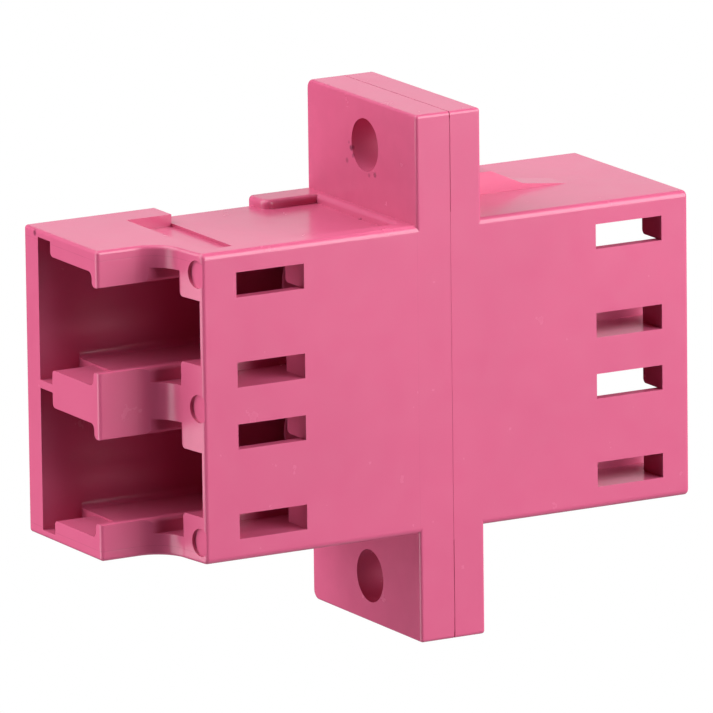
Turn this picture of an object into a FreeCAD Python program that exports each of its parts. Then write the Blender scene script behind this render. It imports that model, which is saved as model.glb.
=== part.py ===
import FreeCAD, Part
import math
import os
import Sketcher

# Duplex LC fibre adapter with a screw flange, in millimetres.
# X runs across the adapter, +X being the side with the latch windows.
# Y is the plug axis: the patch side is -Y, the equipment side +Y.
# Z runs along the flange, from the lower ear to the upper one.
# The origin is the middle of the plane on which the two housings are welded.

SIZES = {
    # outer body
    "body_width": 9.0,
    "body_height": 12.78,
    "front_length": 14.73,
    "rear_length": 11.16,
    "window_edge_radius": 0.25,
    "back_edge_radius": 0.15,
    "end_edge_radius": 0.15,
    # flange
    "flange_height": 21.89,
    "front_flange": 1.56,
    "rear_flange": 1.43,
    "ear_radius": 0.4,
    "window_corner_radius": 0.14,
    "flange_edge_radius": 0.12,
    "weld_height": 13.6,
    "seam_gap": 0.02,
    "hole_spacing": 18.0,
    "hole_diameter": 2.2,
    "hole_offset": 0.3,
    # ports
    "port_pitch": 6.25,
    "back_wall": 1.2,
    "plug_size": 4.5,
    "plug_clearance": 0.03,
    "mouth_relief": 0.07,
    "mouth_depth": 1.8,
    "groove_width": 1.05,
    "groove_relief": 0.68,
    "lip_gap": 3.5,
    "lip_thickness": 0.55,
    "lip_radius": 0.2,
    "corner_radius": 0.28,
    "lug_width": 4.73,
    "lug_depth": 1.14,
    "latch_width": 2.67,
    "latch_wall": 0.45,
    "latch_lead_in": 0.2,
    "shoulder_radius": 0.2,
    "window_start": 6.8,
    "window_length": 3.11,
    "web_thickness": 1.2,
    # scalloped patch end
    "tab_land": 0.44,
    "scallop_straight": 1.75,
    "scallop_radius": 1.34,
    "scallop_fall": 0.2,
    "mark_diameter": 1.15,
    "mark_depth": 0.12,
    "mark_inset": 0.4,
    "mark_spacing": 5.52,
    # seat of the panel clip
    "seat_start": 10.88,
    "seat_step": 8.8,
    "seat_depth": 0.37,
    "pocket_depth": 0.5,
    "seat_rim": 0.85,
    "seat_edge_radius": 0.2,
    "stop_width": 1.6,
    "rib_start": 4.4,
    "rib_width": 1.45,
    "rib_radius": 0.4,
    "rib_back": 0.39,
    "side_seat_depth": 0.45,
    # ramped ribs behind the flange
    "ramp_width": 1.2,
    "ramp_height": 0.92,
    "ramp_top": 4.15,
    "ramp_foot": 5.65,
    "ramp_foot_height": 0.24,
    "ramp_end": 7.7,
    # split sleeves and their holders
    "sleeve_length": 6.8,
    "sleeve_bore": 1.249,
    "sleeve_wall": 0.185,
    "sleeve_slot": 0.25,
    "sleeve_chamfer": 0.05,
    "sleeve_clearance": 0.06,
    "sleeve_end_play": 0.1,
    "holder_wall": 0.58,
    "holder_lip": 0.6,
    "entry_throat": 1.44,
    "entry_mouth": 2.1,
    "holder_chamfer": 0.25,
    "spigot_wall": 0.4,
    "spigot_height": 0.4,
    "spigot_clearance": 0.03,
    # how far a cutting outline runs past the solid
    "overrun": 1.0,
}

TOLERANCE = 1e-4


class Size:
    """A length that knows both its value and its spreadsheet expression."""

    def __init__(self, value, text):
        self.value = value
        self.text = text

    def join(self, sign, other, value):
        text = other.text if isinstance(other, Size) else repr(other)
        return Size(value, "(" + self.text + " " + sign + " " + text + ")")

    def __add__(self, other):
        return self.join("+", other, self.value + number(other))

    def __sub__(self, other):
        return self.join("-", other, self.value - number(other))

    def __mul__(self, other):
        return self.join("*", other, self.value * number(other))

    def __truediv__(self, other):
        return self.join("/", other, self.value / number(other))

    def __neg__(self):
        return self * -1


def number(size):
    return size.value if isinstance(size, Size) else float(size)


doc = FreeCAD.newDocument("lc_duplex_adapter")
sheet = doc.addObject("Spreadsheet::Sheet", "sizes")
for row, (alias, value) in enumerate(SIZES.items(), start=1):
    sheet.set("A" + str(row), alias)
    sheet.set("B" + str(row), str(value))
    sheet.setAlias("B" + str(row), alias)
doc.recompute()


def size(alias):
    return Size(SIZES[alias], "sizes." + alias)


ZERO = Size(0.0, "0")
OVERRUN = size("overrun")

# lines across the adapter, from the closed back wall to the latch windows
WINDOW_SIDE = size("body_width") / 2
BACK_SIDE = -WINDOW_SIDE
TOP = size("body_height") / 2
CAVITY = size("plug_size") + size("plug_clearance") * 2
CAVITY_FLOOR = BACK_SIDE + size("back_wall")
PLUG_AXIS = CAVITY_FLOOR + CAVITY / 2
LIP_START = CAVITY_FLOOR + CAVITY
LIP_END = LIP_START + size("lip_thickness")
LUG_ROOF = LIP_END + size("lug_depth")
LATCH_ROOF = WINDOW_SIDE - size("latch_wall")
PORT_CENTRES = (size("port_pitch") / 2, -(size("port_pitch") / 2))

# sleeve holders
SLEEVE_OUTER = size("sleeve_bore") + size("sleeve_wall") * 2
HOLDER_BORE = SLEEVE_OUTER + size("sleeve_clearance") * 2
HOLDER_OUTER = HOLDER_BORE + size("holder_wall") * 2
HOLDER_DEPTH = size("sleeve_length") / 2 + size("sleeve_end_play")
HOLDER_REACH = HOLDER_DEPTH + size("holder_lip")
SPIGOT_OUTER = HOLDER_BORE + size("spigot_wall") * 2


# ---- sketch and feature helpers -------------------------------------------------

def new_body(label):
    body = doc.addObject("PartDesign::Body", label)
    body.Label = label
    body.Placement = FreeCAD.Placement()
    return body


def new_sketch(body, name, plane, offset=ZERO):
    """A sketch on one of the body's own origin planes, moved along its normal."""
    sketch = body.newObject("Sketcher::SketchObject", name)
    support = next(item for item in body.Origin.OriginFeatures if item.Role == plane)
    sketch.AttachmentSupport = [(support, "")]
    sketch.MapMode = "FlatFace"
    sketch.AttachmentOffset.Base.z = offset.value
    sketch.setExpression("AttachmentOffset.Base.z", offset.text)
    return sketch


def constrain(sketch, kind, target, length):
    """A named dimension of the sketch, bound to the spreadsheet."""
    index = sketch.addConstraint(Sketcher.Constraint(kind, *target, length.value))
    name = kind.lower() + str(index)
    sketch.renameConstraint(index, name)
    sketch.setExpression("Constraints." + name, length.text)


def pin_point(sketch, geometry, position, x, y):
    constrain(sketch, "DistanceX", (-1, 1, geometry, position), x)
    constrain(sketch, "DistanceY", (-1, 1, geometry, position), y)


def add_circle(sketch, x, y, diameter):
    centre = FreeCAD.Vector(x.value, y.value, 0)
    circle = Part.Circle(centre, FreeCAD.Vector(0, 0, 1), diameter.value / 2)
    index = sketch.addGeometry(circle, False)
    pin_point(sketch, index, 3, x, y)
    constrain(sketch, "Diameter", (index,), diameter)


def add_arc(sketch, x, y, radius, toward_x, toward_y):
    """A quarter arc that rounds the corner (x, y); its centre lies toward the signs given.

    Returns the arc with its end on the upright side and its end on the level side."""
    centre_x = x + radius * toward_x
    centre_y = y + radius * toward_y
    start = {(1, 1): 180, (-1, 1): 270, (-1, -1): 0, (1, -1): 90}[(toward_x, toward_y)]
    circle = Part.Circle(FreeCAD.Vector(centre_x.value, centre_y.value, 0),
                         FreeCAD.Vector(0, 0, 1), radius.value)
    arc = Part.ArcOfCircle(circle, math.radians(start), math.radians(start + 90))
    index = sketch.addGeometry(arc, False)
    upright, level = (1, 2) if toward_x == toward_y else (2, 1)
    pin_point(sketch, index, 3, centre_x, centre_y)
    constrain(sketch, "Radius", (index,), radius)
    sketch.addConstraint(Sketcher.Constraint("Horizontal", index, 3, index, upright))
    sketch.addConstraint(Sketcher.Constraint("Vertical", index, 3, index, level))
    return index, upright, level


def add_outline(sketch, corners):
    """A closed outline. A corner is (x, y), or (x, y, radius, toward_x, toward_y) if rounded."""
    arcs = [add_arc(sketch, *corner) if len(corner) > 2 else None for corner in corners]

    def joint(which, neighbour):
        """Where a side between two corners ends at the first of them."""
        x, y = corners[which][:2]
        if arcs[which] is None:
            return FreeCAD.Vector(x.value, y.value, 0), None
        index, upright, level = arcs[which]
        side_is_upright = corners[neighbour][0].text == x.text
        position = upright if side_is_upright else level
        return sketch.getPoint(index, position), (index, position)

    first = sketch.GeometryCount
    count = len(corners)
    for this in range(count):
        following = (this + 1) % count
        start, start_joint = joint(this, following)
        end, end_joint = joint(following, this)
        line = sketch.addGeometry(Part.LineSegment(start, end), False)
        for position, held in ((1, start_joint), (2, end_joint)):
            if held is not None:
                sketch.addConstraint(Sketcher.Constraint("Coincident", line, position, *held))
    for this in range(count):
        if arcs[this] is None:
            before = first + (this - 1) % count
            sketch.addConstraint(Sketcher.Constraint("Coincident", before, 2, first + this, 1))
            pin_point(sketch, first + this, 1, *corners[this][:2])


def add_rectangle(sketch, left, right, low, high):
    add_outline(sketch, [(left, low), (right, low), (right, high), (left, high)])


def new_feature(body, kind, name, sketch, length, along_normal):
    """A pad or pocket of the given length, along the sketch's normal or against it."""
    before = body.Tip.Shape.Volume if body.Tip else 0.0
    feature = body.newObject("PartDesign::" + kind, name)
    feature.Profile = sketch
    feature.Length = length.value
    feature.setExpression("Length", length.text)
    feature.Reversed = along_normal if kind == "Pocket" else not along_normal
    doc.recompute()
    grown = feature.Shape.Volume - before
    if (kind == "Pad") != (grown > 0) or abs(grown) < TOLERANCE:
        raise RuntimeError(name + " changes nothing")
    if not feature.Shape.isValid():
        raise RuntimeError(name + " isn't valid")
    sketch.Visibility = False
    return feature


def pick_edges(shape, wanted):
    return ["Edge" + str(i) for i, edge in enumerate(shape.Edges, start=1) if wanted(edge)]


def near(value, target):
    return abs(value - number(target)) < TOLERANCE


def lies_on(edge, axis, level):
    """True if the whole edge lies in the plane where the axis has that level."""
    box = edge.BoundBox
    low, high = {"x": (box.XMin, box.XMax), "y": (box.YMin, box.YMax), "z": (box.ZMin, box.ZMax)}[axis]
    return near(low, level) and near(high, level)


def round_edges(body, kind, name, base, radius, wanted):
    """A fillet or chamfer on the picked edges of the base feature."""
    feature = body.newObject("PartDesign::" + kind, name)
    feature.Base = (base, pick_edges(base.Shape, wanted))
    amount = "Radius" if kind == "Fillet" else "Size"
    setattr(feature, amount, radius.value)
    feature.setExpression(amount, radius.text)
    doc.recompute()
    if not feature.Shape.isValid():
        raise RuntimeError(name + " isn't valid")
    return feature


def mirror_down(body, name, features):
    """The same features on the underside."""
    mirrored = body.newObject("PartDesign::Mirrored", name)
    mirrored.Originals = features
    plane = next(item for item in body.Origin.OriginFeatures if item.Role == "XY_Plane")
    mirrored.MirrorPlane = (plane, [""])
    body.Tip = mirrored
    doc.recompute()
    return mirrored


# ---- what both housings share ---------------------------------------------------

class Half:
    """One housing; side is -1 for the patch end and +1 for the equipment end."""

    def __init__(self, label, side, length, flange):
        self.body = new_body(label)
        self.side = side
        self.length = length
        self.flange = flange

    def at(self, distance):
        """The Y of a point that far from the weld plane."""
        return distance * self.side

    def section(self, name, distance=ZERO):
        """A sketch across the plug axis, that far from the weld plane."""
        return new_sketch(self.body, name, "XZ_Plane", self.at(distance) * -1)

    def outward(self, kind, name, sketch, length):
        return new_feature(self.body, kind, name, sketch, length, self.side < 0)

    def inward(self, kind, name, sketch, length):
        return new_feature(self.body, kind, name, sketch, length, self.side > 0)


def make_flange(half):
    sketch = half.section("flange_outline")
    ear = size("flange_height") / 2
    add_outline(sketch, [
        (BACK_SIDE, -ear, size("ear_radius"), 1, 1),
        (WINDOW_SIDE, -ear, size("window_corner_radius"), -1, 1),
        (WINDOW_SIDE, ear, size("window_corner_radius"), -1, -1),
        (BACK_SIDE, ear, size("ear_radius"), 1, -1),
    ])
    flange = half.outward("Pad", "flange", sketch, half.flange)
    face = half.at(half.flange)
    round_edges(half.body, "Fillet", "flange_face_edges", flange,
                size("flange_edge_radius"), lambda edge: lies_on(edge, "y", face))


def make_shell(half):
    sketch = half.section("shell_outline")
    add_outline(sketch, [
        (BACK_SIDE, -TOP, size("back_edge_radius"), 1, 1),
        (WINDOW_SIDE, -TOP, size("window_edge_radius"), -1, 1),
        (WINDOW_SIDE, TOP, size("window_edge_radius"), -1, -1),
        (BACK_SIDE, TOP, size("back_edge_radius"), 1, -1),
    ])
    return half.outward("Pad", "shell", sketch, half.length)


def cut_ports(half):
    """The two plug ports: cavity, lips, latch channel and shoulders, then the wider mouth."""
    cavity = CAVITY / 2
    lip = size("lip_gap") / 2
    lug = size("lug_width") / 2
    latch = size("latch_width") / 2
    lip_radius = size("lip_radius")
    corner = size("corner_radius")
    shoulder = size("shoulder_radius")
    sketch = half.section("port_outline", half.length)
    for centre in PORT_CENTRES:
        add_outline(sketch, [
            (CAVITY_FLOOR, centre - cavity, corner, 1, 1),
            (LIP_START, centre - cavity, corner, -1, 1),
            (LIP_START, centre - lip, lip_radius, 1, -1),
            (LIP_END, centre - lip, lip_radius, -1, -1),
            (LIP_END, centre - lug),
            (LUG_ROOF, centre - lug),
            (LUG_ROOF, centre - latch, shoulder, 1, -1),
            (LATCH_ROOF, centre - latch),
            (LATCH_ROOF, centre + latch),
            (LUG_ROOF, centre + latch, shoulder, 1, 1),
            (LUG_ROOF, centre + lug),
            (LIP_END, centre + lug),
            (LIP_END, centre + lip, lip_radius, -1, 1),
            (LIP_START, centre + lip, lip_radius, 1, 1),
            (LIP_START, centre + cavity, corner, -1, -1),
            (CAVITY_FLOOR, centre + cavity, corner, 1, -1),
        ])
    half.inward("Pocket", "ports", sketch, half.length - size("web_thickness"))

    mouth = cavity + size("mouth_relief")
    groove = cavity + size("groove_relief")
    groove_end = CAVITY_FLOOR + size("groove_width")
    sketch = half.section("mouth_outline", half.length)
    for centre in PORT_CENTRES:
        add_outline(sketch, [
            (CAVITY_FLOOR, centre - groove),
            (groove_end, centre - groove),
            (groove_end, centre - mouth, lip_radius, 1, -1),
            (LIP_START, centre - mouth, corner, -1, 1),
            (LIP_START, centre + mouth, corner, -1, -1),
            (groove_end, centre + mouth, lip_radius, 1, 1),
            (groove_end, centre + groove),
            (CAVITY_FLOOR, centre + groove),
        ])
    half.inward("Pocket", "mouths", sketch, size("mouth_depth"))


def cut_windows(half):
    """The latch windows, and the room behind the shoulders into which the lugs rise."""
    near_end = half.at(size("window_start"))
    far_end = half.at(size("window_start") + size("window_length"))
    latch = size("latch_width") / 2
    lug = size("lug_width") / 2
    sketch = new_sketch(half.body, "window_outline", "YZ_Plane", WINDOW_SIDE)
    for centre in PORT_CENTRES:
        add_rectangle(sketch, near_end, far_end, centre + latch, centre + lug)
        add_rectangle(sketch, near_end, far_end, centre - lug, centre - latch)
    new_feature(half.body, "Pocket", "windows", sketch, WINDOW_SIDE - LUG_ROOF, False)


def make_holders(half, spigot=ZERO):
    """The two tubes that hold the alignment sleeves, open from the weld plane.

    Past the sleeve each tube narrows to a lip, with a funnel that leads the ferrule in."""
    body = half.body
    sketch = half.section("holder_outline")
    for centre in PORT_CENTRES:
        add_circle(sketch, PLUG_AXIS, centre, HOLDER_OUTER)
    holders = half.outward("Pad", "holders", sketch, HOLDER_REACH)
    tip = half.at(HOLDER_REACH)
    round_edges(body, "Chamfer", "holder_tips", holders, size("holder_chamfer"),
                lambda edge: lies_on(edge, "y", tip) and edge.BoundBox.DiagonalLength < half.length.value)
    sketch = new_sketch(body, "sleeve_room_outline", "XY_Plane", PORT_CENTRES[0])
    sketch.AttachmentOffset.Base.x = PLUG_AXIS.value
    sketch.setExpression("AttachmentOffset.Base.x", PLUG_AXIS.text)
    depth = half.at(HOLDER_DEPTH)
    add_outline(sketch, [
        (ZERO, half.at(-spigot)),
        (HOLDER_BORE / 2, half.at(-spigot)),
        (HOLDER_BORE / 2, depth),
        (size("entry_throat") / 2, depth),
        (size("entry_mouth") / 2, tip),
        (ZERO, tip),
    ])
    room = body.newObject("PartDesign::Groove", "sleeve_room")
    room.Profile = sketch
    room.ReferenceAxis = (sketch, ["V_Axis"])
    room.Angle = 360
    sketch.Visibility = False
    mirror_down(body, "lower_sleeve_room", [room])


def relieve_ears(half):
    """Sets the ears back a little from the weld plane, as only the middle is welded."""
    edge = size("weld_height") / 2
    beyond = size("flange_height") / 2 + OVERRUN
    sketch = half.section("ear_gap_outline")
    add_rectangle(sketch, BACK_SIDE - OVERRUN, WINDOW_SIDE + OVERRUN, edge, beyond)
    add_rectangle(sketch, BACK_SIDE - OVERRUN, WINDOW_SIDE + OVERRUN, -beyond, -edge)
    half.outward("Pocket", "ear_gaps", sketch, size("seam_gap"))


def cut_ear_holes(half):
    sketch = half.section("ear_hole_outline")
    for side in (1, -1):
        add_circle(sketch, size("hole_offset"), size("hole_spacing") / 2 * side, size("hole_diameter"))
    half.outward("Pocket", "ear_holes", sketch, half.flange)


# ---- patch-side housing ---------------------------------------------------------

def cut_scallop(half):
    """Cuts the window side back behind the tab, so that a finger reaches the latch."""
    tab = LIP_START + size("tab_land")
    front = -half.length
    bend = front + size("scallop_straight")
    radius = size("scallop_radius")
    root = bend + radius
    beyond = WINDOW_SIDE + OVERRUN
    sketch = new_sketch(half.body, "scallop_outline", "XY_Plane", TOP + OVERRUN)
    add_outline(sketch, [
        (tab, front - OVERRUN),
        (tab, root, radius, 1, -1),
        (WINDOW_SIDE, root + size("scallop_fall")),
        (beyond, root + size("scallop_fall")),
        (beyond, front - OVERRUN),
    ])
    return new_feature(half.body, "Pocket", "scallop", sketch, (TOP + OVERRUN) * 2, False)


def round_front_edges(half, base):
    """Rounds the edges of the tab, of the scallop and of the window wall."""
    front = -half.length.value
    rearmost = -SIZES["seat_start"]

    def wanted(edge):
        box = edge.BoundBox
        full_height = box.ZMax - box.ZMin > TOP.value
        inside_scallop = box.XMax < WINDOW_SIDE.value - TOLERANCE and box.YMin > front + TOLERANCE
        return box.YMax < rearmost and not (full_height and inside_scallop)

    return round_edges(half.body, "Fillet", "front_edges", base, size("end_edge_radius"), wanted)


def cut_lead_ins(half):
    """Slopes the front edge of the window wall where each latch slides under it."""
    front = -half.length + size("scallop_straight") + size("scallop_radius") + size("scallop_fall")
    sketch = new_sketch(half.body, "lead_in_outline", "XY_Plane",
                        PORT_CENTRES[0] + size("latch_width") / 2)
    add_outline(sketch, [
        (LATCH_ROOF, front - OVERRUN),
        (LATCH_ROOF + size("latch_lead_in") + OVERRUN, front - OVERRUN),
        (LATCH_ROOF, front + size("latch_lead_in")),
    ])
    lead_in = new_feature(half.body, "Pocket", "lead_in", sketch, size("latch_width"), False)
    mirror_down(half.body, "lower_lead_in", [lead_in])


def cut_clip_seat(half):
    """The stepped seat of the U-shaped panel clip, round the top, the back and the underside."""
    step = -size("seat_step")
    start = -size("seat_start")
    rim = WINDOW_SIDE - size("seat_rim")
    rib = BACK_SIDE + size("rib_width")
    rib_start = -size("rib_start")
    outside = BACK_SIDE - OVERRUN
    seat_back = -(half.flange + size("rib_back"))
    seat_sketch = new_sketch(half.body, "seat_outline", "XY_Plane", TOP)
    add_outline(seat_sketch, [
        (outside, step),
        (rim, step),
        (rim, seat_back),
        (rib, seat_back),
        (rib, rib_start, size("rib_radius"), -1, 1),
        (outside, rib_start),
    ])
    seat = new_feature(half.body, "Pocket", "clip_seat", seat_sketch, size("seat_depth"), False)
    pocket_sketch = new_sketch(half.body, "pocket_outline", "XY_Plane", TOP)
    add_rectangle(pocket_sketch, BACK_SIDE + size("stop_width"), rim, start, step)
    pocket = new_feature(half.body, "Pocket", "clip_pocket", pocket_sketch, size("pocket_depth"), False)
    mirror_down(half.body, "lower_clip_seat", [seat, pocket])
    sketch = new_sketch(half.body, "side_seat_outline", "YZ_Plane", BACK_SIDE)
    add_rectangle(sketch, step, rib_start, -TOP - OVERRUN, TOP + OVERRUN)
    side_seat = new_feature(half.body, "Pocket", "side_seat", sketch, size("side_seat_depth"), True)

    def bounds_the_rib(edge):
        box = edge.BoundBox
        along = box.YMin > rib_start.value - TOLERANCE and box.YMax < seat_back.value + TOLERANCE
        return along and (lies_on(edge, "z", TOP) or lies_on(edge, "z", -TOP))

    round_edges(half.body, "Fillet", "rib_edges", side_seat, size("seat_edge_radius"), bounds_the_rib)


def press_ejector_marks(half):
    """Three round ejector-pin marks on the front of the window wall."""
    depth = -half.length + size("scallop_straight") + size("scallop_radius")
    sketch = new_sketch(half.body, "mark_outline", "XZ_Plane", -(depth - OVERRUN))
    for height in (size("mark_spacing"), ZERO, -size("mark_spacing")):
        add_circle(sketch, WINDOW_SIDE - size("mark_inset"), height, size("mark_diameter"))
    new_feature(half.body, "Pocket", "ejector_marks", sketch,
                OVERRUN + size("scallop_fall") / 2 + size("mark_depth"), False)


def add_spigots(half):
    """Rings round the sleeve rooms that locate the two housings on each other."""
    sketch = half.section("spigot_outline")
    for centre in PORT_CENTRES:
        add_circle(sketch, PLUG_AXIS, centre, SPIGOT_OUTER)
    half.inward("Pad", "spigots", sketch, size("spigot_height"))


def make_front_housing():
    half = Half("front_housing", -1, size("front_length"), size("front_flange"))
    make_flange(half)
    make_shell(half)
    add_spigots(half)
    scallop = cut_scallop(half)
    round_front_edges(half, scallop)
    cut_clip_seat(half)
    cut_ports(half)
    cut_lead_ins(half)
    cut_windows(half)
    make_holders(half, size("spigot_height"))
    relieve_ears(half)
    cut_ear_holes(half)
    press_ejector_marks(half)
    return half.body


# ---- equipment-side housing -----------------------------------------------------

def add_ramps(half):
    """A narrow rib above and below, high behind the flange and falling away in an S."""
    top = TOP + size("ramp_height")
    foot = TOP + size("ramp_foot_height")
    start = half.flange
    sketch = new_sketch(half.body, "ramp_outline", "YZ_Plane", -(size("ramp_width") / 2))
    add_outline(sketch, [
        (start, TOP),
        (size("ramp_end"), TOP),
        (size("ramp_foot"), foot),
        (size("ramp_top"), top),
        (start, top),
    ])
    ramp = new_feature(half.body, "Pad", "ramp", sketch, size("ramp_width"), True)
    mirror_down(half.body, "lower_ramp", [ramp])


def cut_spigot_sockets(half):
    sketch = half.section("socket_outline")
    for centre in PORT_CENTRES:
        add_circle(sketch, PLUG_AXIS, centre, SPIGOT_OUTER + size("spigot_clearance") * 2)
    half.outward("Pocket", "spigot_sockets", sketch, size("spigot_height") + size("spigot_clearance"))


def make_rear_housing():
    half = Half("rear_housing", 1, size("rear_length"), size("rear_flange"))
    make_flange(half)
    shell = make_shell(half)
    end = half.length
    round_edges(half.body, "Fillet", "end_edges", shell, size("end_edge_radius"),
                lambda edge: lies_on(edge, "y", end))
    add_ramps(half)
    cut_ports(half)
    cut_windows(half)
    make_holders(half)
    cut_spigot_sockets(half)
    relieve_ears(half)
    cut_ear_holes(half)
    return half.body


# ---- alignment sleeves ----------------------------------------------------------

def make_sleeve(label, height):
    """A split ceramic sleeve, centred across the weld plane, its slot facing the latch."""
    body = new_body(label)
    half_length = size("sleeve_length") / 2
    sketch = new_sketch(body, "ring_outline", "XZ_Plane", -half_length)
    add_circle(sketch, ZERO, ZERO, SLEEVE_OUTER)
    add_circle(sketch, ZERO, ZERO, size("sleeve_bore"))
    ring = new_feature(body, "Pad", "ring", sketch, size("sleeve_length"), True)
    round_edges(body, "Chamfer", "ring_ends", ring, size("sleeve_chamfer"),
                lambda edge: lies_on(edge, "y", half_length) or lies_on(edge, "y", -half_length))
    sketch = new_sketch(body, "slot_outline", "YZ_Plane", ZERO)
    slot = size("sleeve_slot") / 2
    add_rectangle(sketch, -half_length - OVERRUN, half_length + OVERRUN, -slot, slot)
    new_feature(body, "Pocket", "slot", sketch, SLEEVE_OUTER, True)
    body.Placement.Base = FreeCAD.Vector(PLUG_AXIS.value, 0, height.value)
    body.setExpression("Placement.Base.x", PLUG_AXIS.text)
    body.setExpression("Placement.Base.z", height.text)
    return body


parts = [
    make_front_housing(),
    make_rear_housing(),
    make_sleeve("upper_sleeve", PORT_CENTRES[0]),
    make_sleeve("lower_sleeve", PORT_CENTRES[1]),
]
doc.recompute()

for item in doc.Objects:
    if {"Invalid", "Error"} & set(item.State):
        raise RuntimeError(item.Label + " failed")
for part in parts:
    if part.Shape.isNull() or not part.Shape.isValid() or len(part.Shape.Solids) != 1:
        raise RuntimeError(part.Label + " isn't one valid solid")

os.makedirs("parts", exist_ok=True)
for part in parts:
    part.Shape.exportStep("parts/" + part.Label + ".step")
    print(part.Label, round(part.Shape.Volume, 3), "mm3", part.Shape.BoundBox)
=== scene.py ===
import math

import bpy
from mathutils import Matrix, Vector


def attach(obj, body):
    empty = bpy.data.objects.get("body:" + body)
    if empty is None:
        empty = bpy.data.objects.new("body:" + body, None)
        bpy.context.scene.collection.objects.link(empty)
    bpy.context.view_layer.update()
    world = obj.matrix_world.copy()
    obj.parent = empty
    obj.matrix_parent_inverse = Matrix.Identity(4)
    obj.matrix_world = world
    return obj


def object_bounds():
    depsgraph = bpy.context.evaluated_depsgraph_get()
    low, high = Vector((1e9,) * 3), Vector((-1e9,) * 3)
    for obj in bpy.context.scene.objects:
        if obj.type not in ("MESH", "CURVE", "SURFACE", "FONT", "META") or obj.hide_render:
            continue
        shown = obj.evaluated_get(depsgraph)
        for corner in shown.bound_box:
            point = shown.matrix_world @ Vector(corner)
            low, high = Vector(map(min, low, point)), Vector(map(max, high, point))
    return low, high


bl_info = {
    "name": "Fibre Adapter Finish",
    "version": (1, 0, 0),
    "blender": (4, 5, 0),
    "location": "3D View > Sidebar > Adapter",
    "description": "Finishes a duplex fibre adapter and sets it in a plain studio",
    "category": "Object",
}

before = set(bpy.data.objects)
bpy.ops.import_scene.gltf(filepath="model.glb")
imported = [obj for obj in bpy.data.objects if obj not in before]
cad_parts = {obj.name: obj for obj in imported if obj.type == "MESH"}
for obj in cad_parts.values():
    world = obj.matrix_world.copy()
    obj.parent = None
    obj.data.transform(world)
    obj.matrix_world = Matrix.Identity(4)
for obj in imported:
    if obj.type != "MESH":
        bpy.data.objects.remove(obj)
CAD_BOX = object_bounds()

MM = 0.001
HOUSINGS = ("front_housing", "rear_housing")
SLEEVES = ("upper_sleeve", "lower_sleeve")
BODY = "root"
FLANGE_FACE = -1.56 * MM
SCALLOP_ROOT = -11.4 * MM
SEAM_TURN = -0.6 * MM
BEAD_STEPS = 160
BEAD_CORNER_STEPS = 6
EAR_BEAD_RATIO = 1.4
EAR_CORNER = 0.4 * MM
PLASTIC_IOR = 1.46
CERAMIC_IOR = 2.1
# scales of the noise textures, in repeats per metre
DRIFT_SCALE = 180.0
GLOSS_SCALE = 900.0
WEAR_SCALE = 1200.0
SPECK_EDGE_SCALE = 9000.0
TURNING_SCALE = 1500.0
BEAD_SCALE = 1500.0
# how far the roughness swings to each side
GLOSS_SWING = 0.035
CERAMIC_SWING = 0.06
# how strongly each witness line shows, from 0 to 1
SEAM_STRENGTH = 0.2
LOWER_SEAM_EXTRA = 0.75
FLANGE_LINE_STRENGTH = 0.35
WORN_LINE_STRENGTH = 0.45
# turning marks: how much finer they are along the sleeve, and their depth
TURNING_STRETCH = 30.0
TURNING_DEPTH = 0.0004 * MM
BEAD_SIDES = 8
FLOOR_ROUGHNESS = 0.9
SPECK_WANDER = 0.06 * MM
SPECK_EDGE = 1.8
# place in mm, radius in mm, strength
SPECKS = (
    ((-0.84, -1.56, 8.68), 0.16, 1.0),
    ((-0.70, -1.56, 8.38), 0.12, 0.6),
    ((-1.02, -1.56, 8.88), 0.09, 0.5),
    ((-1.19, -1.56, 8.10), 0.15, 0.6),
    ((0.62, -1.56, 7.80), 0.12, 0.5),
    ((1.10, -1.56, 7.90), 0.15, 0.7),
    ((-3.55, -14.73, 6.21), 0.16, 0.9),
    ((0.60, -1.98, 5.97), 0.13, 0.9),
)
# lamp, turn from straight in front of the patch end, height (both in degrees), power setting
LAMPS = (
    ("front_lamp", -20, -12, "front_power"),
    ("high_lamp", -30, 45, "high_power"),
    ("overhead_lamp", -20, 75, "overhead_power"),
    ("side_lamp", 130, 20, "side_power"),
    ("back_lamp", -119, 13, "back_power"),
)


# ---- what a user would change ---------------------------------------------------

class PlasticSettings(bpy.types.PropertyGroup):
    """The moulded plastic of the two housings."""

    colour: bpy.props.FloatVectorProperty(
        name="Colour", description="Colour of the moulded plastic",
        subtype="COLOR", size=3, min=0.0, max=1.0, default=(0.60, 0.105, 0.215))
    roughness: bpy.props.FloatProperty(
        name="Roughness", description="Roughness of the polished mould faces",
        subtype="FACTOR", min=0.0, max=1.0, default=0.24)
    grain: bpy.props.FloatProperty(
        name="Grain", description="Depth of the fine ripple left by the mould",
        subtype="DISTANCE", unit="LENGTH", min=0.0, default=0.0012 * MM)
    grain_width: bpy.props.FloatProperty(
        name="Grain width", description="Width of one ripple of the moulded surface",
        subtype="DISTANCE", unit="LENGTH", min=0.01 * MM, default=0.35 * MM)
    mottle: bpy.props.FloatProperty(
        name="Mottle", description="How far the colour drifts where the melt cooled unevenly",
        subtype="FACTOR", min=0.0, max=1.0, default=0.05)


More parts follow.
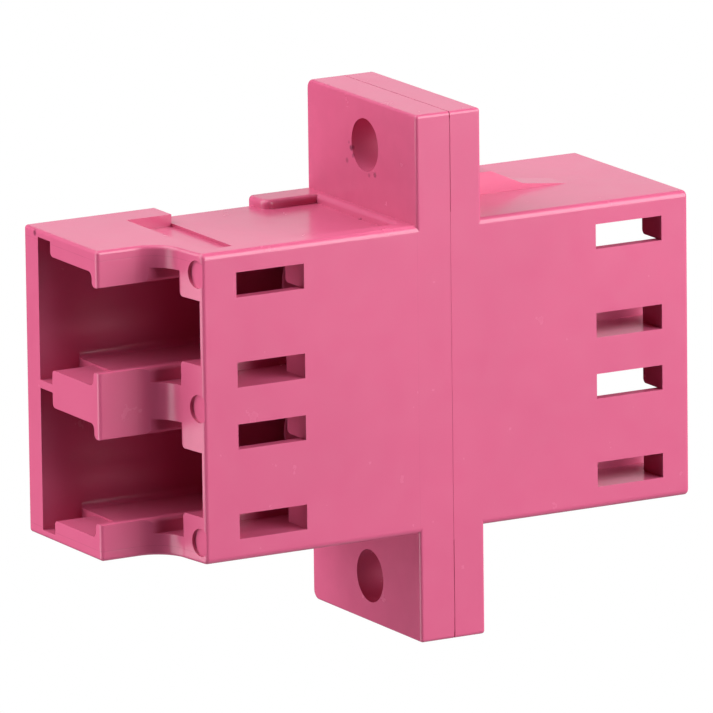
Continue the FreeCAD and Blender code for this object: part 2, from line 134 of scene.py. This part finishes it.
class MarkSettings(bpy.types.PropertyGroup):
    """Witness lines of the mould, and the little dirt that the adapter has."""

    line_width: bpy.props.FloatProperty(
        name="Line width", description="Width of a witness line",
        subtype="DISTANCE", unit="LENGTH", min=0.001 * MM, default=0.05 * MM)
    line_depth: bpy.props.FloatProperty(
        name="Line depth", description="How deep a witness line looks",
        subtype="DISTANCE", unit="LENGTH", min=0.0, default=0.002 * MM)
    line_shade: bpy.props.FloatProperty(
        name="Line shade", description="How much darker a witness line is",
        subtype="FACTOR", min=0.0, max=1.0, default=0.16)
    parting: bpy.props.FloatProperty(
        name="Parting line", description="Height of the parting line on the scalloped end",
        subtype="DISTANCE", unit="LENGTH", min=0.0, default=5.98 * MM)
    speck_shade: bpy.props.FloatProperty(
        name="Speck shade", description="How dark the specks of dirt are",
        subtype="FACTOR", min=0.0, max=1.0, default=0.65)


class FlashSettings(bpy.types.PropertyGroup):
    """The fine bead that the weld leaves along the joint."""

    radius: bpy.props.FloatProperty(
        name="Radius", description="Radius of the bead",
        subtype="DISTANCE", unit="LENGTH", min=0.001 * MM, default=0.01 * MM)
    unevenness: bpy.props.FloatProperty(
        name="Unevenness", description="How far the bead's radius varies along the joint",
        subtype="FACTOR", min=0.0, max=1.0, default=0.6)
    inset: bpy.props.FloatProperty(
        name="Inset", description="How far the bead lies back in the open joint of the ears",
        subtype="DISTANCE", unit="LENGTH", min=0.0, default=0.022 * MM)
    reach: bpy.props.FloatProperty(
        name="Reach", description="Half the height of the welded joint",
        subtype="DISTANCE", unit="LENGTH", min=0.1 * MM, default=6.75 * MM)
    seed: bpy.props.IntProperty(
        name="Seed", description="Changes where the bead is thicker", default=3)


class SleeveSettings(bpy.types.PropertyGroup):
    """The ground ceramic of the alignment sleeves."""

    colour: bpy.props.FloatVectorProperty(
        name="Colour", description="Colour of the ceramic",
        subtype="COLOR", size=3, min=0.0, max=1.0, default=(0.86, 0.85, 0.80))
    roughness: bpy.props.FloatProperty(
        name="Roughness", description="Roughness of the ground faces",
        subtype="FACTOR", min=0.0, max=1.0, default=0.3)


class CameraSettings(bpy.types.PropertyGroup):
    """The camera's place about the adapter."""

    azimuth: bpy.props.FloatProperty(
        name="Azimuth",
        description="Turn of the view about the vertical, from straight on the patch end",
        subtype="ANGLE", unit="ROTATION", default=math.radians(60.653))
    elevation: bpy.props.FloatProperty(
        name="Elevation", description="How far the camera looks down",
        subtype="ANGLE", unit="ROTATION", default=math.radians(12.932))
    roll: bpy.props.FloatProperty(
        name="Roll", description="Lean of the camera about its own view",
        subtype="ANGLE", unit="ROTATION", default=math.radians(-0.713))
    distance: bpy.props.FloatProperty(
        name="Distance", description="Distance from the camera to the point it looks at",
        subtype="DISTANCE", unit="LENGTH", min=10 * MM, default=506.93 * MM)
    view_angle: bpy.props.FloatProperty(
        name="View angle", description="Angle that the picture covers",
        subtype="ANGLE", unit="ROTATION", default=math.radians(3.2866))
    target: bpy.props.FloatVectorProperty(
        name="Target", description="The point that the camera looks at",
        subtype="TRANSLATION", unit="LENGTH", size=3,
        default=(-0.799 * MM, -1.452 * MM, -0.028 * MM))


class StudioSettings(bpy.types.PropertyGroup):
    """The floor, the lamps and the background."""

    drop: bpy.props.FloatProperty(
        name="Drop", description="How far the floor lies below the adapter's lower ear",
        subtype="DISTANCE", unit="LENGTH", min=0.0, default=400 * MM)
    floor_size: bpy.props.FloatProperty(
        name="Floor size", description="Side of the square floor",
        subtype="DISTANCE", unit="LENGTH", min=10 * MM, default=3.0)
    floor_colour: bpy.props.FloatVectorProperty(
        name="Floor colour", description="Colour of the floor",
        subtype="COLOR", size=3, min=0.0, max=1.0, default=(0.8, 0.8, 0.8))
    lamp_size: bpy.props.FloatProperty(
        name="Lamp size", description="Side of each square lamp",
        subtype="DISTANCE", unit="LENGTH", min=10 * MM, default=300 * MM)
    lamp_distance: bpy.props.FloatProperty(
        name="Lamp distance", description="Distance of each lamp from the adapter",
        subtype="DISTANCE", unit="LENGTH", min=50 * MM, default=300 * MM)
    front_power: bpy.props.FloatProperty(
        name="Front power", description="Power of the low lamp in front of the patch end",
        subtype="POWER", unit="POWER", min=0.0, default=0.86)
    high_power: bpy.props.FloatProperty(
        name="High power", description="Power of the lamp high at the front left",
        subtype="POWER", unit="POWER", min=0.0, default=1.03)
    overhead_power: bpy.props.FloatProperty(
        name="Overhead power", description="Power of the lamp overhead",
        subtype="POWER", unit="POWER", min=0.0, default=0.28)
    side_power: bpy.props.FloatProperty(
        name="Side power", description="Power of the lamp on the window side",
        subtype="POWER", unit="POWER", min=0.0, default=1.93)
    back_power: bpy.props.FloatProperty(
        name="Back power", description="Power of the lamp behind, which the top reflects",
        subtype="POWER", unit="POWER", min=0.0, default=0.215)


def settings():
    """The scene's own copy of each group of settings."""
    return bpy.context.scene.adapter_finish


class AdapterSettings(bpy.types.PropertyGroup):
    """All the groups together."""

    plastic: bpy.props.PointerProperty(type=PlasticSettings)
    marks: bpy.props.PointerProperty(type=MarkSettings)
    flash: bpy.props.PointerProperty(type=FlashSettings)
    sleeve: bpy.props.PointerProperty(type=SleeveSettings)
    camera: bpy.props.PointerProperty(type=CameraSettings)
    studio: bpy.props.PointerProperty(type=StudioSettings)


# ---- shader node helpers --------------------------------------------------------

def add_node(tree, kind, **values):
    node = tree.nodes.new(kind)
    for name, value in values.items():
        setattr(node, name, value)
    return node


def feed(tree, node, **inputs):
    """Sets or links the node's inputs; a name's underscores stand for spaces."""
    for name, value in inputs.items():
        socket = node.inputs[name.replace("_", " ")]
        if isinstance(value, bpy.types.NodeSocket):
            tree.links.new(value, socket)
        else:
            socket.default_value = value
    return node


def new_material(name):
    material = bpy.data.materials.new(name)
    material.use_nodes = True
    tree = material.node_tree
    tree.nodes.clear()
    output = add_node(tree, "ShaderNodeOutputMaterial")
    surface = add_node(tree, "ShaderNodeBsdfPrincipled")
    tree.links.new(surface.outputs["BSDF"], output.inputs["Surface"])
    return material, tree, surface


def math_node(tree, operation, first, second=None, clamp=False):
    """One calculation; each value is a number or a socket."""
    node = add_node(tree, "ShaderNodeMath", operation=operation, use_clamp=clamp)
    for socket, value in zip(node.inputs, (first, second)):
        if isinstance(value, bpy.types.NodeSocket):
            tree.links.new(value, socket)
        elif value is not None:
            socket.default_value = value
    return node.outputs[0]


def line_mask(tree, coordinate, level, width):
    """1 on the plane where the coordinate has that level, falling to 0 half a width away."""
    away = math_node(tree, "ABSOLUTE", math_node(tree, "SUBTRACT", coordinate, level))
    share = math_node(tree, "DIVIDE", away, math_node(tree, "MULTIPLY", width, 0.5))
    return math_node(tree, "SUBTRACT", 1.0, share, clamp=True)


def object_coordinates(tree):
    return add_node(tree, "ShaderNodeTexCoord").outputs["Object"]


def moulded_skin_group():
    """Node group: the slow colour drift, the ripple and the uneven gloss of a moulded face."""
    group = bpy.data.node_groups.new("moulded_skin", "ShaderNodeTree")
    face = group.interface
    face.new_socket("Position", in_out="INPUT", socket_type="NodeSocketVector")
    face.new_socket("Colour", in_out="INPUT", socket_type="NodeSocketColor")
    for name in ("Mottle", "Roughness", "Ripple scale"):
        face.new_socket(name, in_out="INPUT", socket_type="NodeSocketFloat")
    face.new_socket("Colour", in_out="OUTPUT", socket_type="NodeSocketColor")
    face.new_socket("Roughness", in_out="OUTPUT", socket_type="NodeSocketFloat")
    face.new_socket("Height", in_out="OUTPUT", socket_type="NodeSocketFloat")
    start = add_node(group, "NodeGroupInput").outputs
    end = add_node(group, "NodeGroupOutput")

    drift = feed(group, add_node(group, "ShaderNodeTexNoise"),
                 Vector=start["Position"], Scale=DRIFT_SCALE, Detail=2.0, Roughness=0.5)
    drift_range = feed(group, add_node(group, "ShaderNodeMapRange"), Value=drift.outputs["Fac"],
                       From_Min=0.3, From_Max=0.7, To_Min=-0.5, To_Max=0.5)
    amount = math_node(group, "MULTIPLY", drift_range.outputs["Result"], start["Mottle"])
    tint = feed(group, add_node(group, "ShaderNodeHueSaturation"),
                Color=start["Colour"], Value=math_node(group, "ADD", amount, 1.0))

    ripple = feed(group, add_node(group, "ShaderNodeTexNoise"),
                  Vector=start["Position"], Scale=start["Ripple scale"], Detail=3.0, Roughness=0.55)
    gloss = feed(group, add_node(group, "ShaderNodeTexNoise"),
                 Vector=start["Position"], Scale=GLOSS_SCALE, Detail=4.0, Roughness=0.6)
    gloss_range = feed(group, add_node(group, "ShaderNodeMapRange"), Value=gloss.outputs["Fac"],
                       From_Min=0.3, From_Max=0.7, To_Min=-GLOSS_SWING, To_Max=GLOSS_SWING)
    rough = math_node(group, "ADD", gloss_range.outputs["Result"], start["Roughness"])

    group.links.new(tint.outputs["Color"], end.inputs["Colour"])
    group.links.new(rough, end.inputs["Roughness"])
    group.links.new(ripple.outputs["Fac"], end.inputs["Height"])
    return group


def mould_lines_group():
    """Node group: witness lines where mould halves, slides and the two housings met."""
    group = bpy.data.node_groups.new("mould_lines", "ShaderNodeTree")
    face = group.interface
    face.new_socket("Position", in_out="INPUT", socket_type="NodeSocketVector")
    face.new_socket("Width", in_out="INPUT", socket_type="NodeSocketFloat")
    face.new_socket("Parting", in_out="INPUT", socket_type="NodeSocketFloat")
    face.new_socket("Mask", in_out="OUTPUT", socket_type="NodeSocketFloat")
    start = add_node(group, "NodeGroupInput").outputs
    end = add_node(group, "NodeGroupOutput")
    axes = feed(group, add_node(group, "ShaderNodeSeparateXYZ"), Vector=start["Position"]).outputs
    width = start["Width"]

    seam = line_mask(group, axes["Y"], 0.0, width)
    lower = math_node(group, "LESS_THAN", axes["Z"], SEAM_TURN)
    seam = math_node(group, "MULTIPLY", seam, math_node(
        group, "ADD", math_node(group, "MULTIPLY", lower, LOWER_SEAM_EXTRA), SEAM_STRENGTH))
    flange = math_node(group, "MULTIPLY", line_mask(group, axes["Y"], FLANGE_FACE, width),
                       FLANGE_LINE_STRENGTH)
    height = math_node(group, "ABSOLUTE", axes["Z"])
    parting = line_mask(group, height, start["Parting"], width)
    on_scallop = math_node(group, "LESS_THAN", axes["Y"], SCALLOP_ROOT)
    parting = math_node(group, "MULTIPLY", parting, on_scallop)
    lines = math_node(group, "MAXIMUM", math_node(group, "MAXIMUM", seam, flange), parting)
    patchy = feed(group, add_node(group, "ShaderNodeTexNoise"),
                  Vector=start["Position"], Scale=WEAR_SCALE, Detail=2.0)
    uneven = feed(group, add_node(group, "ShaderNodeMapRange"), Value=patchy.outputs["Fac"],
                  From_Min=0.35, From_Max=0.6, To_Min=WORN_LINE_STRENGTH, To_Max=1.0)
    mask = math_node(group, "MULTIPLY", lines, uneven.outputs["Result"])
    group.links.new(mask, end.inputs["Mask"])
    return group


def specks_group():
    """Node group: a few specks of dirt, most of them round the upper ear hole."""
    group = bpy.data.node_groups.new("specks", "ShaderNodeTree")
    face = group.interface
    face.new_socket("Position", in_out="INPUT", socket_type="NodeSocketVector")
    face.new_socket("Mask", in_out="OUTPUT", socket_type="NodeSocketFloat")
    start = add_node(group, "NodeGroupInput").outputs
    end = add_node(group, "NodeGroupOutput")
    wander = feed(group, add_node(group, "ShaderNodeTexNoise"),
                  Vector=start["Position"], Scale=SPECK_EDGE_SCALE, Detail=2.0)
    shift = add_node(group, "ShaderNodeVectorMath", operation="SCALE")
    group.links.new(wander.outputs["Color"], shift.inputs[0])
    shift.inputs["Scale"].default_value = SPECK_WANDER
    moved = add_node(group, "ShaderNodeVectorMath", operation="ADD")
    group.links.new(start["Position"], moved.inputs[0])
    group.links.new(shift.outputs[0], moved.inputs[1])
    specks = 0.0
    for place, radius, strength in SPECKS:
        apart = add_node(group, "ShaderNodeVectorMath", operation="DISTANCE")
        group.links.new(moved.outputs[0], apart.inputs[0])
        apart.inputs[1].default_value = [axis * MM + SPECK_WANDER / 2 for axis in place]
        share = math_node(group, "DIVIDE", apart.outputs["Value"], radius * MM)
        dot = math_node(group, "MULTIPLY", math_node(group, "SUBTRACT", 1.0, share), SPECK_EDGE,
                        clamp=True)
        specks = math_node(group, "MAXIMUM", math_node(group, "MULTIPLY", dot, strength), specks)
    group.links.new(specks, end.inputs["Mask"])
    return group


def housing_plastic():
    """Glossy pink moulded plastic, with its witness lines and specks."""
    plastic = settings().plastic
    marks = settings().marks
    material, tree, surface = new_material("housing_plastic")
    position = object_coordinates(tree)
    skin = add_node(tree, "ShaderNodeGroup", node_tree=moulded_skin_group())
    feed(tree, skin, Position=position, Colour=(*plastic.colour, 1.0),
         Mottle=plastic.mottle, Roughness=plastic.roughness, Ripple_scale=1 / plastic.grain_width)
    lines = feed(tree, add_node(tree, "ShaderNodeGroup", node_tree=mould_lines_group()),
                 Position=position, Width=marks.line_width, Parting=marks.parting).outputs["Mask"]
    specks = feed(tree, add_node(tree, "ShaderNodeGroup", node_tree=specks_group()),
                  Position=position).outputs["Mask"]
    dark = math_node(tree, "MAXIMUM", math_node(tree, "MULTIPLY", lines, marks.line_shade),
                     math_node(tree, "MULTIPLY", specks, marks.speck_shade))
    shaded = feed(tree, add_node(tree, "ShaderNodeHueSaturation"), Color=skin.outputs["Colour"],
                  Value=math_node(tree, "SUBTRACT", 1.0, dark))
    ripple = feed(tree, add_node(tree, "ShaderNodeBump"),
                  Height=skin.outputs["Height"], Strength=1.0, Distance=plastic.grain)
    bump = feed(tree, add_node(tree, "ShaderNodeBump", invert=True), Height=lines, Strength=1.0,
                Distance=marks.line_depth, Normal=ripple.outputs["Normal"])
    feed(tree, surface, Base_Color=shaded.outputs["Color"], Roughness=skin.outputs["Roughness"],
         Normal=bump.outputs["Normal"], IOR=PLASTIC_IOR)
    return material


def sleeve_ceramic():
    """Ground white ceramic with fine turning marks round the sleeve."""
    sleeve = settings().sleeve
    material, tree, surface = new_material("sleeve_ceramic")
    position = object_coordinates(tree)
    stretch = feed(tree, add_node(tree, "ShaderNodeMapping"),
                   Vector=position, Scale=(1.0, TURNING_STRETCH, 1.0))
    lines = feed(tree, add_node(tree, "ShaderNodeTexNoise"),
                 Vector=stretch.outputs["Vector"], Scale=TURNING_SCALE, Detail=2.0)
    rough = feed(tree, add_node(tree, "ShaderNodeMapRange"), Value=lines.outputs["Fac"],
                 To_Min=sleeve.roughness - CERAMIC_SWING, To_Max=sleeve.roughness + CERAMIC_SWING)
    bump = feed(tree, add_node(tree, "ShaderNodeBump"), Height=lines.outputs["Fac"],
                Strength=1.0, Distance=TURNING_DEPTH)
    feed(tree, surface, Base_Color=(*sleeve.colour, 1.0), Roughness=rough.outputs["Result"],
         Normal=bump.outputs["Normal"], IOR=CERAMIC_IOR)
    return material


def dress(names, material):
    """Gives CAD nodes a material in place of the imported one."""
    for name in names:
        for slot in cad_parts[name].material_slots:
            slot.material = material


# ---- weld bead ------------------------------------------------------------------

def group_input(group, name, kind):
    """Adds a named input to the group and returns its identifier."""
    return group.interface.new_socket(name, in_out="INPUT", socket_type=kind).identifier


def weld_bead_group(material):
    """Geometry Nodes: an uneven bead on both sides of the body, and an even one round the ears.

    Returns the group and its inputs' values by socket identifier.
    """
    flash = settings().flash
    group = bpy.data.node_groups.new("weld_bead", "GeometryNodeTree")
    wanted = {
        "Side": ("NodeSocketFloat", CAD_BOX[1][0]),
        "Reach": ("NodeSocketFloat", flash.reach),
        "Radius": ("NodeSocketFloat", flash.radius),
        "Width": ("NodeSocketFloat", 2 * (CAD_BOX[1][0] - flash.inset)),
        "Height": ("NodeSocketFloat", 2 * (CAD_BOX[1][2] - flash.inset)),
        "Corner": ("NodeSocketFloat", EAR_CORNER - flash.inset),
        "Unevenness": ("NodeSocketFloat", flash.unevenness),
        "Seed": ("NodeSocketInt", flash.seed),
        "Material": ("NodeSocketMaterial", material),
    }
    values = {group_input(group, name, kind): value for name, (kind, value) in wanted.items()}
    group.interface.new_socket("Geometry", in_out="OUTPUT", socket_type="NodeSocketGeometry")
    start = add_node(group, "NodeGroupInput").outputs
    end = add_node(group, "NodeGroupOutput")

    low = feed(group, add_node(group, "ShaderNodeCombineXYZ"), X=start["Side"],
               Z=math_node(group, "MULTIPLY", start["Reach"], -1.0))
    high = feed(group, add_node(group, "ShaderNodeCombineXYZ"), X=start["Side"], Z=start["Reach"])
    line = feed(group, add_node(group, "GeometryNodeCurvePrimitiveLine"),
                Start=low.outputs[0], End=high.outputs[0])
    cut = feed(group, add_node(group, "GeometryNodeResampleCurve"),
               Curve=line.outputs["Curve"], Count=BEAD_STEPS)
    noise = feed(group, add_node(group, "ShaderNodeTexNoise", noise_dimensions="4D"),
                 Vector=add_node(group, "GeometryNodeInputPosition").outputs[0],
                 W=start["Seed"], Scale=BEAD_SCALE, Detail=2.0)
    centred = math_node(group, "SUBTRACT", noise.outputs["Fac"], 0.5)
    swing = math_node(group, "MULTIPLY", centred, 2.0)
    thickness = math_node(group, "MULTIPLY", start["Radius"], math_node(
        group, "ADD", 1.0, math_node(group, "MULTIPLY", swing, start["Unevenness"])))
    profile = feed(group, add_node(group, "GeometryNodeCurvePrimitiveCircle"),
                   Resolution=BEAD_SIDES, Radius=1.0)
    tube = feed(group, add_node(group, "GeometryNodeCurveToMesh"), Curve=cut.outputs["Curve"],
                Profile_Curve=profile.outputs["Curve"], Scale=thickness, Fill_Caps=True)
    other = feed(group, add_node(group, "GeometryNodeTransform"),
                 Geometry=tube.outputs["Mesh"], Rotation=(0.0, 0.0, math.pi))
    outline = feed(group, add_node(group, "GeometryNodeCurvePrimitiveQuadrilateral"),
                   Width=start["Width"], Height=start["Height"])
    upright = feed(group, add_node(group, "GeometryNodeTransform"),
                   Geometry=outline.outputs["Curve"], Rotation=(math.pi / 2, 0.0, 0.0))
    rounded = feed(group, add_node(group, "GeometryNodeFilletCurve", mode="POLY"),
                   Curve=upright.outputs["Geometry"], Radius=start["Corner"],
                   Count=BEAD_CORNER_STEPS)
    loop = feed(group, add_node(group, "GeometryNodeCurveToMesh"), Curve=rounded.outputs["Curve"],
                Profile_Curve=profile.outputs["Curve"],
                Scale=math_node(group, "MULTIPLY", start["Radius"], EAR_BEAD_RATIO))
    both = add_node(group, "GeometryNodeJoinGeometry")
    for piece in (loop.outputs["Mesh"], tube.outputs["Mesh"], other.outputs["Geometry"]):
        group.links.new(piece, both.inputs[0])
    smooth = feed(group, add_node(group, "GeometryNodeSetShadeSmooth"),
                  Geometry=both.outputs["Geometry"])
    real = feed(group, add_node(group, "GeometryNodeRealizeInstances"),
                Geometry=smooth.outputs["Geometry"])
    finish = feed(group, add_node(group, "GeometryNodeSetMaterial"),
                  Geometry=real.outputs["Geometry"], Material=start["Material"])
    group.links.new(finish.outputs["Geometry"], end.inputs["Geometry"])
    return group, values


def add_weld_bead(material):
    """Makes the bead as a plain mesh that rides on the housings' body."""
    item = bpy.data.objects.new("weld_bead", bpy.data.meshes.new("weld_bead"))
    bpy.context.scene.collection.objects.link(item)
    modifier = item.modifiers.new("weld_bead", "NODES")
    modifier.node_group, values = weld_bead_group(material)
    for identifier, value in values.items():
        modifier[identifier] = value
    bpy.context.view_layer.update()
    made = item.evaluated_get(bpy.context.evaluated_depsgraph_get())
    mesh = bpy.data.meshes.new_from_object(made)
    item.modifiers.remove(modifier)
    item.data = mesh
    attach(item, BODY)


# ---- stage ----------------------------------------------------------------------

def camera_basis(camera):
    """Right, up and back of the camera, from its azimuth, elevation and roll."""
    level = math.cos(camera.elevation)
    back = Vector((math.sin(camera.azimuth) * level, -math.cos(camera.azimuth) * level,
                   math.sin(camera.elevation)))
    right = Vector((0, 0, 1)).cross(back).normalized()
    up = back.cross(right)
    turned_right = right * math.cos(camera.roll) + up * math.sin(camera.roll)
    turned_up = up * math.cos(camera.roll) - right * math.sin(camera.roll)
    return turned_right, turned_up, back


def place_camera():
    """The camera, which looks at its target from the set distance."""
    camera = settings().camera
    data = bpy.data.cameras.new("camera")
    data.angle = camera.view_angle
    data.clip_start = 10 * MM
    data.clip_end = 10.0
    item = bpy.data.objects.new("camera", data)
    bpy.context.scene.collection.objects.link(item)
    right, up, back = camera_basis(camera)
    turn = Matrix((right, up, back)).transposed().to_4x4()
    item.matrix_world = Matrix.Translation(Vector(camera.target) + back * camera.distance) @ turn
    bpy.context.scene.camera = item


def place_lamp(name, turn, height, power):
    """A square soft lamp that faces the adapter; turn 0 is in front of the patch end."""
    studio = settings().studio
    data = bpy.data.lights.new(name, "AREA")
    data.shape = "SQUARE"
    data.size = studio.lamp_size
    data.energy = power
    turn, height = math.radians(turn), math.radians(height)
    direction = Vector((math.sin(turn) * math.cos(height), -math.cos(turn) * math.cos(height),
                        math.sin(height)))
    item = bpy.data.objects.new(name, data)
    bpy.context.scene.collection.objects.link(item)
    item.location = direction * studio.lamp_distance
    item.rotation_euler = direction.to_track_quat("Z", "Y").to_euler()


def lay_floor():
    """A pale floor, plain white to the camera."""
    studio = settings().studio
    lowest = CAD_BOX[0][2] - studio.drop
    half = studio.floor_size / 2
    mesh = bpy.data.meshes.new("floor")
    corners = [(x * half, y * half, lowest) for x, y in ((-1, -1), (1, -1), (1, 1), (-1, 1))]
    mesh.from_pydata(corners, [], [(0, 1, 2, 3)])
    item = bpy.data.objects.new("floor", mesh)
    bpy.context.scene.collection.objects.link(item)
    material, tree, surface = new_material("studio_floor")
    feed(tree, surface, Base_Color=(*studio.floor_colour, 1.0), Roughness=FLOOR_ROUGHNESS)
    light_path = add_node(tree, "ShaderNodeLightPath")
    glow = feed(tree, add_node(tree, "ShaderNodeEmission"), Color=(1, 1, 1, 1), Strength=1.0)
    mix = add_node(tree, "ShaderNodeMixShader")
    tree.links.new(light_path.outputs["Is Camera Ray"], mix.inputs[0])
    tree.links.new(surface.outputs["BSDF"], mix.inputs[1])
    tree.links.new(glow.outputs["Emission"], mix.inputs[2])
    output = next(node for node in tree.nodes if node.type == "OUTPUT_MATERIAL")
    tree.links.new(mix.outputs["Shader"], output.inputs["Surface"])
    mesh.materials.append(material)


def light_world():
    """Plain white to the camera, and dark to everything else."""
    world = bpy.data.worlds.new("studio")
    bpy.context.scene.world = world
    world.use_nodes = True
    tree = world.node_tree
    tree.nodes.clear()
    output = add_node(tree, "ShaderNodeOutputWorld")
    background = feed(tree, add_node(tree, "ShaderNodeBackground"), Color=(1, 1, 1, 1))
    light_path = add_node(tree, "ShaderNodeLightPath")
    tree.links.new(light_path.outputs["Is Camera Ray"], background.inputs["Strength"])
    tree.links.new(background.outputs["Background"], output.inputs["Surface"])


# ---- operators ------------------------------------------------------------------

class ADAPTER_OT_housings(bpy.types.Operator):
    """Finishes the two moulded housings"""

    bl_idname = "adapter.housings"
    bl_label = "Finish housings"

    def execute(self, context):
        dress(HOUSINGS, housing_plastic())
        return {"FINISHED"}


class ADAPTER_OT_flash(bpy.types.Operator):
    """Adds the bead that the weld leaves on both sides of the body"""

    bl_idname = "adapter.flash"
    bl_label = "Add weld bead"

    def execute(self, context):
        add_weld_bead(bpy.data.materials["housing_plastic"])
        return {"FINISHED"}


class ADAPTER_OT_sleeves(bpy.types.Operator):
    """Finishes the two alignment sleeves"""

    bl_idname = "adapter.sleeves"
    bl_label = "Finish sleeves"

    def execute(self, context):
        dress(SLEEVES, sleeve_ceramic())
        return {"FINISHED"}


class ADAPTER_OT_stage(bpy.types.Operator):
    """Sets the camera, the lamps, the floor and the background"""

    bl_idname = "adapter.stage"
    bl_label = "Set stage"

    def execute(self, context):
        studio = settings().studio
        place_camera()
        for lamp, turn, height, power in LAMPS:
            place_lamp(lamp, turn, height, getattr(studio, power))
        lay_floor()
        light_world()
        bpy.context.scene.view_settings.view_transform = "Standard"
        return {"FINISHED"}


class ADAPTER_PT_finish(bpy.types.Panel):
    """Lists the adapter's pieces and their settings"""

    bl_idname = "ADAPTER_PT_finish"
    bl_label = "Fibre adapter"
    bl_space_type = "VIEW_3D"
    bl_region_type = "UI"
    bl_category = "Adapter"

    def draw(self, context):
        layout = self.layout
        groups = context.scene.adapter_finish
        for operator, group in (("adapter.housings", groups.plastic), (None, groups.marks),
                                ("adapter.flash", groups.flash), ("adapter.sleeves", groups.sleeve),
                                ("adapter.stage", groups.studio), (None, groups.camera)):
            box = layout.box()
            if operator:
                box.operator(operator)
            for name in group.bl_rna.properties.keys():
                if name not in {"rna_type", "name"}:
                    box.prop(group, name)


CLASSES = (
    PlasticSettings, MarkSettings, FlashSettings, SleeveSettings, CameraSettings, StudioSettings,
    AdapterSettings,
    ADAPTER_OT_housings, ADAPTER_OT_flash, ADAPTER_OT_sleeves, ADAPTER_OT_stage, ADAPTER_PT_finish,
)


def register():
    for item in CLASSES:
        bpy.utils.register_class(item)
    bpy.types.Scene.adapter_finish = bpy.props.PointerProperty(type=AdapterSettings)


def unregister():
    del bpy.types.Scene.adapter_finish
    for item in reversed(CLASSES):
        bpy.utils.unregister_class(item)


def main():
    register()
    bpy.ops.adapter.housings()
    bpy.ops.adapter.flash()
    bpy.ops.adapter.sleeves()
    bpy.ops.adapter.stage()


if __name__ == "__main__":
    main()
